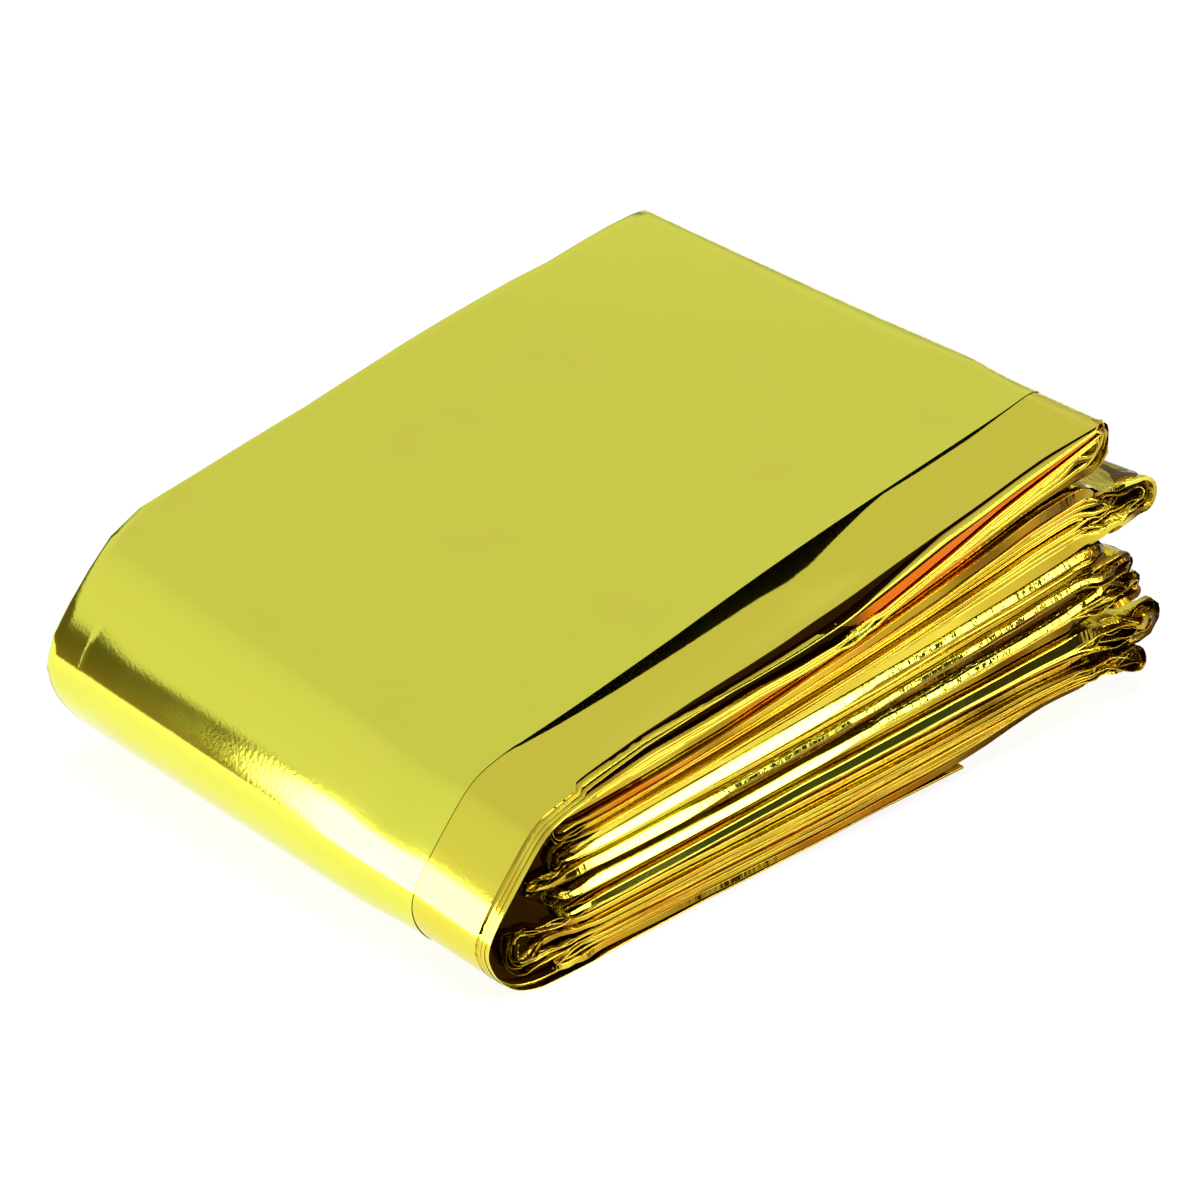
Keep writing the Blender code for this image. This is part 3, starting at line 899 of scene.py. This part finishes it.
def near_end(place):
    """y where a place's film ends on the near side."""
    if place == 1:
        return edge_line(top_x)
    if place == 2:
        return near_tip(2, 2)
    pair = next(pair for pair in NEAR_FOLDS if place in pair)
    return fold_place("near", *pair, float(pair.index(place)))[0]


def far_end(place):
    pair = next(pair for pair in FAR_FOLDS if place in pair)
    return fold_place("far", *pair, float(pair.index(place)))[0]


def layer_rise(place, x, y, z):
    """How far a layer leaves its place in the stack."""
    if place == 1:
        return on_top * edge_rise(x, y, z)
    rise = -on_top * dip_of(x, y) * over_nose(z)
    if place > 2:
        rise = rise - on_top * HIDDEN_DIP * over_nose(z)
        rise = rise + uneven(FILM_WAVE, place, y)
    return rise


def column_points(column):
    """x, y and z of a column at every station, in mm."""
    kind, first, second, share = column
    if kind == "flat":
        y = mix(near_end(first), far_end(first), share)
        depth = depth_at(first, across_of(y))
    else:
        y, depth = fold_place(kind, first, second, share)
    across = across_of(y)
    x, z = read_rows("points", across).T
    normal = read_rows("normal", across)
    offset = read_rows("outer", across) - depth + on_top * (cover_rise(y, z) + nose_crease(y, z))
    if kind == "flat":
        offset = offset + layer_rise(first, x, y, z)
    if kind == "flat" and first <= 2:
        offset = offset + end_crumple(y, across)
    else:
        offset = offset + crumple(OUTWARD, first, second, across)
        y = y + crumple(ASIDE, first, second, across)
    return np.stack((x + normal[:, 0] * offset, y, z + normal[:, 1] * offset), axis=-1)


points = np.stack([column_points(column) for column in columns], axis=1)
print("Box of the film in mm:", points.min((0, 1)).round(1), points.max((0, 1)).round(1))

# %% [markdown]
# ## The sheet as a mesh
#
# A full grid of this size would be heavy, and most of it is hidden between the layers. So each column
# keeps all its stations where it shows and only every fifth one elsewhere, and the faces between two
# columns span the stations that both keep.

# %% Which stations a column keeps
COARSE = 5
BORDER_COARSE = 2         # and at the layers' borders
BORDER_SHARE = 0.02       # which show up to this share of their width


def kept_stations(column):
    keep = np.arange(stations) % COARSE == 0
    keep[-1] = True
    if column.kind == "near":
        keep[:] = True
    elif column.first > 1 and column.share <= BORDER_SHARE:
        keep |= np.arange(stations) % BORDER_COARSE == 0
    if column.first <= 2 and column.kind == "flat":
        keep |= on_wrap
    return keep


def sheet_faces(kept):
    """Numbers of the kept points, and the faces between each column and the next."""
    number = np.full(kept.shape, -1)
    number[kept] = np.arange(kept.sum())
    faces = []
    for left in range(len(columns) - 1):
        shared = np.flatnonzero(kept[left] & kept[left + 1])
        for low, high in zip(shared, shared[1:]):
            one = number[left, low:high + 1]
            other = number[left + 1, low:high + 1]
            faces.append([*one[one >= 0], *other[other >= 0][::-1]])
    return faces


kept = np.array([kept_stations(column) for column in columns])
faces = sheet_faces(kept)
triangles = sum(len(face) - 2 for face in faces)
print("Points:", int(kept.sum()), "triangles:", triangles)

# %% [markdown]
# ## Painted shade of each fold
#
# Film between films mirrors gold in gold, redder each time, until it is nearly black. A renderer can follow
# that, but it takes more bounces than a picture can afford, and the narrow gaps stay noisy. So that shade
# is
# painted: each point carries how deep it lies, as an attribute that the material turns into redder and
# darker colour. Two more attributes say where a fold has a painted orange glow of film mirrored in film and
# where it is finely crinkled, and the last two are the sheet's own places along and across, for the grain.

# %% Painted shade of the near folds
# Painted shade, from 0 for film in the open to 1 for film deep in the packet: redder and darker in place of
# light mirrored between films, and darker where films shade each other. The second film and the wrap's rim
# get a little, painted as the top film's glow on them.
SECOND_SHADE = 0.16        # the second film lies in the top film's glow
RIM_SHADED = (-40.0, -8.0)    # and so does the wrap's rim, behind this x
WEB_SHADE = 0.30
# painted shade where the web leaves the knot, painted light on the folds in the knot
WEB_ROOT_SHADE = 0.85      # the web is dark where it leaves the knot
WEB_ROOT = (KNOT[0], 9.0)
KNOT_SHADE = 0.08
UNDER_SHADE = 0.46         # under the packet, and towards the loose end
LOOSE_SHADE = 0.74
LOOSE = (-10.0, 30.0)
SHADED_BY_ABOVE = 0.24         # the broad folds inside are shaded by those above from here on
SHADED = (30.0, 14.0)
SHADE_SWING = 0.14
OPEN_SHADE = 0.1           # film in the open is even
# painted shade of the crumpled ends, darker still in their loops
END_SHADE = 0.45           # of the crumpled ends
END_SWING = 0.45
LOOP_SHADE = 0.28          # their loops are darker still


def fold_shade(low):
    """How much shade is painted on a near fold's gold, by its lower place: 0 in the open to 1 deep in the
    packet.
    """
    warm = along_strip("broad_warm" if low < THIN[0] else "thin_warm")
    if low == THIN[0]:
        warm = mix(warm, WEB_SHADE, on_top)
    warm = mix(warm, SECOND_SHADE, on_top * ramp(top_x, *RIM_SHADED))
    warm = mix(warm, mix(UNDER_SHADE, LOOSE_SHADE, ramp(near_x, *LOOSE)), under)
    if low == THIN[0]:
        warm = mix(warm, WEB_ROOT_SHADE, on_top * around(top_x, *WEB_ROOT))
    if low > THIN[0]:
        warm = mix(warm, KNOT_SHADE, knot)
    if low < THIN[0]:
        warm = warm + SHADED_BY_ABOVE * ramp(near_x, *SHADED) * (1.0 - on_top)
    warm = mix(warm, END_SHADE, crumpled) + LOOP_SHADE * open_back * (1.0 - on_top)
    swing = mix(SHADE_SWING * (warm > OPEN_SHADE), END_SWING, np.minimum(1.0, crumpled_of(low)))
    shades = uneven(SHADE_NOISE, low) + crumpled_of(low) * uneven(FINE_SHADE_NOISE, low)
    return np.clip(warm + swing * shades, 0.0, 1.0)


# %% Painted shade of the layers and the far folds
# painted shade in blotches on the outer layers of the free ends, and painted shade on the far folds
LAYER_SHADE = 0.20         # the outer layers of the free ends are blotched
FAR_SHADE = 0.38


def flat_shade(column, y):
    """Painted shade of a layer and of the far folds. Hidden layers get the darkest."""
    low = min(column.first, column.second)
    blotched_shade = np.clip(LAYER_SHADE + uneven(SHADE_BLOTCH, 0, y), 0.0, 1.0)
    if low <= 2:
        return mix(blotched_shade, 0.0 if low == 1 else SECOND_SHADE, on_top)
    if column.kind == "flat":
        return mix(1.0, blotched_shade, crumpled_back * (low == BROAD[0]))
    return FAR_SHADE + uneven(FAR_SHADE_NOISE, low)


# %% Painted glow and crinkle
# painted glow, in place of light mirrored from film to film
GLOW_SHARE = 0.6          # how orange the deep folds may glow
GLOW_FROM_RUN = 0.5
GLOW_TO_RUN = 2.5
LOW_GLOW = 0.4            # and how much of that the lowest runs do
LOW_GLOW_RUN = 8.5
GLOW_LEVEL = 0.4
WEB_GLOW = (12.0, 8.0)    # the web glows all along, from here on
THIN_CRINKLE = 0.4
CRUMPLED_CRINKLE = 0.5
LAYER_CRINKLE = 0.3


def fold_glow(low):
    """Painted glow: how orange a near fold looks from film mirrored in film."""
    run = path["run"]
    deep = (run > GLOW_FROM_RUN) * ((run < GLOW_TO_RUN) + LOW_GLOW * (run > LOW_GLOW_RUN))
    glow = np.clip(uneven(GLOW, low) - GLOW_LEVEL, 0.0, 1.0) * GLOW_SHARE * deep
    if low == THIN[0]:
        glow = np.maximum(glow, on_top * ramp(top_x, *WEB_GLOW))
    return glow * (low >= BROAD[0]) * np.maximum(0.0, 1.0 - crumpled_of(low))


def fold_crinkle(low):
    """How finely crinkled a near fold is."""
    share = 1.0 if low < THIN[0] else THIN_CRINKLE
    return np.maximum(share * crease, CRUMPLED_CRINKLE * crumpled_of(low))


def column_table(near, flat):
    """Values of a point attribute, columns by stations."""
    rows = []
    for number, column in enumerate(columns):
        low = min(column.first, column.second)
        rows.append(near(low) if column.kind == "near" else flat(column, points[:, number, 1]))
    return np.array(rows)


# painted shade and painted glow go to the material by point, with the crinkle and the sheet's places
film_tables = {
    "warm": column_table(fold_shade, flat_shade),
    "glow": column_table(fold_glow, lambda column, y: np.zeros(stations)),
    "crinkle": column_table(fold_crinkle, lambda column, y: LAYER_CRINKLE * crumpled_back),
    "along": np.tile(path["reached"], (len(columns), 1)),
    "across": points[..., 1].T,
}
print("Mean warmth:", round(float(film_tables["warm"].mean()), 3))

# %% Make the piece
FLOOR_CLEAR = 0.02        # mm


def add_object(name, data):
    """An object in the scene."""
    made = bpy.data.objects.new(name, data)
    bpy.context.scene.collection.objects.link(made)
    return made


def film_piece(name):
    placed = (points.transpose(1, 0, 2)[kept] + np.array(CAD_SHIFT)) * MM
    placed[:, 2] = np.maximum(placed[:, 2], FLOOR_CLEAR * MM)
    mesh = bpy.data.meshes.new(name)
    mesh.from_pydata(placed, [], faces)
    mesh.shade_smooth()
    for table, values in film_tables.items():
        layer = mesh.attributes.new(table, "FLOAT", "POINT")
        layer.data.foreach_set("value", values[kept].astype(np.float32))
    return add_object(name, mesh)


film = film_piece("film")
print("Made", film.name, "with", len(film.data.polygons), "faces")

# %% [markdown]
# ## Gold film
#
# The film is polyester with a breath of aluminium under a yellow lacquer, so it mirrors like metal. The
# lacquer could be a tinted coat over grey metal, but the coat would add a second, colourless mirror image
# that film this thin doesn't show. A metal shader in the lacquer's colour is enough. A ramp paints shade
# into that colour, redder and darker with depth, and a faint emission paints a glow on the deepest films,
# both in place of light mirrored between films. Stretched film has faint clouds of pink. A fine grain and
# the crinkles of the creased folds are too small for the mesh, so they are a bump.

# %% Shader helpers


class Wire:
    """One value in a node tree. Arithmetic on it adds Math nodes."""

    def __init__(self, bench, socket):
        self.bench = bench
        self.socket = socket

    def math(self, operation, *values):
        return self.bench.add("ShaderNodeMath", {"operation": operation}, values)

    def __add__(self, other):
        return self.math("ADD", self, other)

    def __sub__(self, other):
        return self.math("SUBTRACT", self, other)

    def __mul__(self, other):
        return self.math("MULTIPLY", self, other)

    def clamped(self):
        return self.bench.add("ShaderNodeClamp", {}, (self, 0.0, 1.0))


class Bench:
    """A node tree, with one way to add nodes to it."""

    def __init__(self, tree):
        self.tree = tree
        tree.nodes.clear()

    def add(self, kind, settings, inputs=(), output=0):
        """Adds a node. settings are set first; inputs are values or wires, by order or by name."""
        node = self.tree.nodes.new(kind)
        for name, value in settings.items():
            if name == "stops":
                self.set_stops(node, value)
            else:
                setattr(node, name, value)
        pairs = inputs.items() if isinstance(inputs, dict) else enumerate(inputs)
        for key, value in pairs:
            if isinstance(value, Wire):
                self.tree.links.new(value.socket, node.inputs[key])
            else:
                node.inputs[key].default_value = value
        return Wire(self, node.outputs[output]) if node.outputs else node

    @staticmethod
    def set_stops(node, stops):
        ramp = node.color_ramp.elements
        while len(ramp) < len(stops):
            ramp.new(0.5)
        for element, (place, colour) in zip(ramp, stops):
            element.position = place
            element.color = (*colour, 1.0)


def blend(share, low, high):
    """A colour between two others, by a wire from 0 to 1."""
    return share.bench.add("ShaderNodeMix", {"data_type": "RGBA"}, {0: share, 6: low, 7: high}, output=2)


# %% The film's material
# the film's gold, with painted shade: redder and darker towards films deep between others
GOLD_AND_SHADE_STOPS = (            # from films in the open to films deep between others
    (0.00, (0.86, 0.87, 0.10)),
    (0.30, (0.82, 0.66, 0.06)),
    (0.50, (0.62, 0.45, 0.035)),
    (0.70, (0.36, 0.22, 0.012)),
    (0.85, (0.16, 0.08, 0.004)),
    (1.00, (0.07, 0.03, 0.002)),
)
# painted glow: the orange of film mirrored in film
PAINTED_GLOW_ORANGE = (0.76, 0.16, 0.008, 1.0)
BLUSH_GOLD = (0.90, 0.50, 0.20, 1.0)
BLUSH_FROM = 0.56         # where the film's cloudy blush begins, how fast it comes and how far it goes
BLUSH_GAIN = 6.0
BLUSH_MOST = 0.07
CLOUDS_PER_MM = 0.05
BLACK = (0.0, 0.0, 0.0, 1.0)
# painted glow: a faint emission on the deepest films
EMBER = (0.021, 0.009, 0.0006, 1.0)       # light that film passes on to film deep in the packet
EMBER_FROM = 0.9          # warmth at which it begins, and how fast it comes
EMBER_GAIN = 10.0
ROUGH_LEAST = 0.06
ROUGH_SWING = 0.06
BUMP_HEIGHT = 0.0007      # metres
GRAIN = 0.011             # the film's own grain, as a share of that
GRAIN_PER_MM = 1.6
CRINKLE_PER_MM = 0.9
# the crinkles' pattern shifts with the painted shade
CRINKLE_PULLED = 0.4      # crinkles are longer across the strip, and differ with warmth
CRINKLE_SHIFT = 8.0


def film_material():
    material = bpy.data.materials.new("gold_film")
    material.use_nodes = True
    bench = Bench(material.node_tree)
    warm, glow, crinkle, along, across = (
        bench.add("ShaderNodeAttribute", {"attribute_name": name}, output=2)
        for name in ("warm", "glow", "crinkle", "along", "across"))
    sheet = bench.add("ShaderNodeCombineXYZ", {}, (along, across, warm))
    pulled = bench.add("ShaderNodeCombineXYZ", {}, (along, across * CRINKLE_PULLED, warm * CRINKLE_SHIFT))
    # painted shade from the ramp and painted orange glow; the pink blush is the film's own tone
    gold_and_shade = bench.add("ShaderNodeValToRGB", {"stops": GOLD_AND_SHADE_STOPS}, (warm,))
    clouds = bench.add("ShaderNodeTexNoise", {}, {"Vector": sheet, "Scale": CLOUDS_PER_MM, "Detail": 2.0})
    blush = ((clouds - BLUSH_FROM) * BLUSH_GAIN).clamped() * BLUSH_MOST
    colour = blend(blush, blend(glow, gold_and_shade, PAINTED_GLOW_ORANGE), BLUSH_GOLD)
    # painted glow on the deepest films
    ember = blend(((warm - EMBER_FROM) * EMBER_GAIN).clamped(), BLACK, EMBER)
    grain = bench.add("ShaderNodeTexNoise", {}, {"Vector": sheet, "Scale": GRAIN_PER_MM, "Detail": 2.0})
    folds = bench.add("ShaderNodeTexNoise", {}, {"Vector": pulled, "Scale": CRINKLE_PER_MM, "Detail": 3.0})
    height = grain * GRAIN + folds * crinkle
    bump = bench.add("ShaderNodeBump", {}, {"Strength": 1.0, "Distance": BUMP_HEIGHT, "Height": height})
    shader = bench.add("ShaderNodeBsdfPrincipled", {}, {
        "Base Color": colour,
        "Metallic": 1.0,
        "Roughness": clouds * ROUGH_SWING + ROUGH_LEAST,
        "Normal": bump,
        "Emission Color": ember,
        "Emission Strength": 1.0,
    })
    bench.add("ShaderNodeOutputMaterial", {}, {"Surface": shader})
    return material


film.data.materials.append(film_material())
print("Nodes in the film's material:", len(film.active_material.node_tree.nodes))

# %% [markdown]
# ## Studio
#
# A mirror shows its room, so the room is part of the finish, and lights alone would leave the gold black
# between them. An image of a studio could stand in for it, but this room follows from what the film shows:
# a light table below, grey walls behind, a dark wall in front, a lamp overhead and two softboxes.

# %% Floor
FLOOR_SIZE = 6.0
FLOOR_GREY = 0.18
FLOOR_ROUGH = 0.9
FLOOR_GLOW = 0.84         # a light table, so that the shadows stay pale


def make_floor():
    half = FLOOR_SIZE / 2.0
    mesh = bpy.data.meshes.new("floor")
    corners = [(-half, -half, 0.0), (half, -half, 0.0), (half, half, 0.0), (-half, half, 0.0)]
    mesh.from_pydata(corners, [], [(0, 1, 2, 3)])
    floor = add_object("floor", mesh)
    material = bpy.data.materials.new("pale_floor")
    material.use_nodes = True
    bench = Bench(material.node_tree)
    shader = bench.add("ShaderNodeBsdfPrincipled", {}, {
        "Base Color": (FLOOR_GREY, FLOOR_GREY, FLOOR_GREY, 1.0),
        "Roughness": FLOOR_ROUGH,
        "Emission Color": (1.0, 1.0, 1.0, 1.0),
        "Emission Strength": FLOOR_GLOW,
    })
    bench.add("ShaderNodeOutputMaterial", {}, {"Surface": shader})
    mesh.materials.append(material)
    return floor


print("Made", make_floor().name)

# %% World: what the film mirrors
# Stops by the sine of the elevation, for the walls at the left and the right behind the packet and for the
# one before it. All three end in the same lamp overhead.
OVERHEAD = ((0.985, (8.00, 8.00, 8.00)),)
UPPER_WALL = (
    (0.72, (0.67, 0.67, 0.65)),
    (0.965, (0.66, 0.66, 0.64)),
)
LEFT_STOPS = (
    (0.00, (0.24, 0.15, 0.03)),
    (0.20, (0.15, 0.11, 0.03)),
    (0.425, (0.10, 0.09, 0.03)),
    (0.45, (0.80, 0.80, 0.78)),
    (0.60, (0.76, 0.76, 0.74)),
) + UPPER_WALL + OVERHEAD
RIGHT_STOPS = (
    (0.00, (0.34, 0.33, 0.16)),
    (0.10, (0.38, 0.37, 0.18)),
    (0.18, (0.50, 0.50, 0.42)),
    (0.60, (0.74, 0.74, 0.72)),
) + UPPER_WALL + OVERHEAD
FRONT_STOPS = (
    (0.00, (0.022, 0.026, 0.012)),
    (0.29, (0.026, 0.031, 0.012)),
    (0.34, (0.50, 0.50, 0.46)),
    (0.965, (0.60, 0.60, 0.56)),
) + OVERHEAD
RIGHT_GAIN = 5.0          # how fast the left wall turns into the right one
BEHIND_GAIN = 4.0         # and the front one into both


def make_world():
    world = bpy.data.worlds.new("studio")
    bpy.context.scene.world = world
    world.use_nodes = True
    bench = Bench(world.node_tree)
    direction = bench.add("ShaderNodeTexCoord", {}, output=0)
    right, depth, height = (
        bench.add("ShaderNodeSeparateXYZ", {}, (direction,), output=axis) for axis in range(3))
    left_wall, right_wall, front_wall = (
        bench.add("ShaderNodeValToRGB", {"stops": stops}, (height,))
        for stops in (LEFT_STOPS, RIGHT_STOPS, FRONT_STOPS))
    back_walls = blend((right * RIGHT_GAIN).clamped(), left_wall, right_wall)
    colour = blend((depth * BEHIND_GAIN + 0.5).clamped(), front_wall, back_walls)
    shine = bench.add("ShaderNodeBackground", {}, (colour, 1.0))
    bench.add("ShaderNodeOutputWorld", {}, {"Surface": shine})
    return world


print("Made world", make_world().name)

# %% Softboxes


def softbox(name, place, aim, width, height, power, turn=0.0):
    """A rectangular light at place, facing aim, in metres and watts, turned by degrees in its own plane."""
    light = bpy.data.lights.new(name, "AREA")
    light.shape = "RECTANGLE"
    light.size = width
    light.size_y = height
    light.energy = power
    lamp = add_object(name, light)
    lamp.location = place
    facing = (Vector(aim) - Vector(place)).to_track_quat("-Z", "Y")
    lamp.rotation_euler = (facing @ Quaternion((0.0, 0.0, 1.0), math.radians(turn))).to_euler()
    lamp.visible_camera = False
    return lamp


softbox("back_left_light", place=(-0.504, 0.164, 0.122), aim=(-0.086, -0.104, 0.122),
        width=0.18, height=0.25, power=1.15, turn=5.0)
softbox("front_right_light", place=(0.64, -0.98, 0.57), aim=(0.0, 0.0, 0.02),
        width=0.85, height=0.38, power=8.0)
print("Softboxes:", [lamp.name for lamp in bpy.context.scene.objects if lamp.type == "LIGHT"])

# %% [markdown]
# ## Camera
#
# The camera stands where the photograph's stood. It could be turned by hand until the picture fits, but a
# packet with parallel sides gives the place away: the points where its edges meet, drawn on, give the
# angles and the distance.

# %% Camera
AZIMUTH = math.radians(-42.06)            # from the near side towards the nose
ELEVATION = math.radians(30.71)
DISTANCE = 1100.0         # mm
FOCAL_PIXELS = 6872.27
IMAGE_PIXELS = 1200.0
SENSOR = 36.0
AIM_RIGHT = 4.11          # from a point over the packet's middle, in the picture's own directions
AIM_UP = 8.41
AIM_Z = 15.0
CLIP = (0.05, 20.0)       # metres


def make_camera():
    back = Vector((math.sin(AZIMUTH) * math.cos(ELEVATION), -math.cos(AZIMUTH) * math.cos(ELEVATION),
                   math.sin(ELEVATION)))
    right = Vector((math.cos(AZIMUTH), math.sin(AZIMUTH), 0.0))
    up = back.cross(right)
    aim = Vector(CAD_SHIFT) + Vector((0.0, 0.0, AIM_Z)) + right * AIM_RIGHT + up * AIM_UP
    data = bpy.data.cameras.new("camera")
    data.sensor_width = SENSOR
    data.lens = FOCAL_PIXELS / IMAGE_PIXELS * SENSOR
    data.clip_start, data.clip_end = CLIP
    camera = add_object("camera", data)
    camera.location = (aim + back * DISTANCE) * MM
    camera.rotation_euler = (-back).to_track_quat("-Z", "Y").to_euler()
    bpy.context.scene.camera = camera
    return camera


print("Lens in mm:", round(make_camera().data.lens, 1))
bpy.context.scene.view_settings.view_transform = "Standard"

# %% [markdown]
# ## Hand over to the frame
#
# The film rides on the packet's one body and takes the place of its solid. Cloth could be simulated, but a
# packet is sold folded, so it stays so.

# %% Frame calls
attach(film, "root")
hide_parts("blanket")
